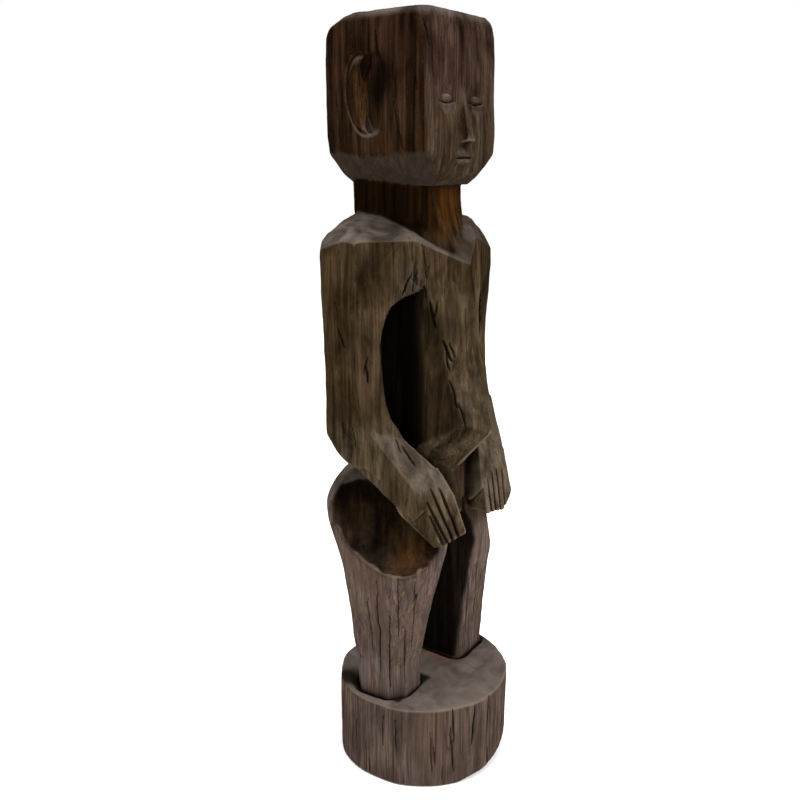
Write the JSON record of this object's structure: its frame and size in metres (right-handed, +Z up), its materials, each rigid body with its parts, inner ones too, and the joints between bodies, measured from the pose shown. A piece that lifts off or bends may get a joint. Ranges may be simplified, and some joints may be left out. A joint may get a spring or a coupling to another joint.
{
  "type": "carved wooden guardian figure",
  "caption": "Standing hardwood ancestor figure with hands on thighs, hand-carved in flat facets, on its own round log plinth.",
  "frame": {"origin": "centre of the flat underside of the stump", "axes": "+Z up, the figure faces -Y, its own right side is -X"},
  "size_m": [0.0926, 0.0831, 0.35],
  "materials": {
    "dark_hardwood": "dry, hand-rubbed dark hardwood with knife facets",
    "stump_hardwood": "dry, greyed hardwood log with vertical grain"
  },
  "bodies": {
    "root": {"stump": "stump_hardwood", "right_leg": "stump_hardwood", "left_leg": "stump_hardwood", "hips": "dark_hardwood", "loin_tongue": "dark_hardwood", "trunk": "dark_hardwood", "right_upper_arm": "dark_hardwood", "left_upper_arm": "dark_hardwood", "right_forearm": "dark_hardwood", "left_forearm": "dark_hardwood", "right_hand": "dark_hardwood", "left_hand": "dark_hardwood", "neck": "dark_hardwood", "head": "dark_hardwood", "right_ear": "dark_hardwood", "left_ear": "dark_hardwood"}
  },
  "joints": []
}
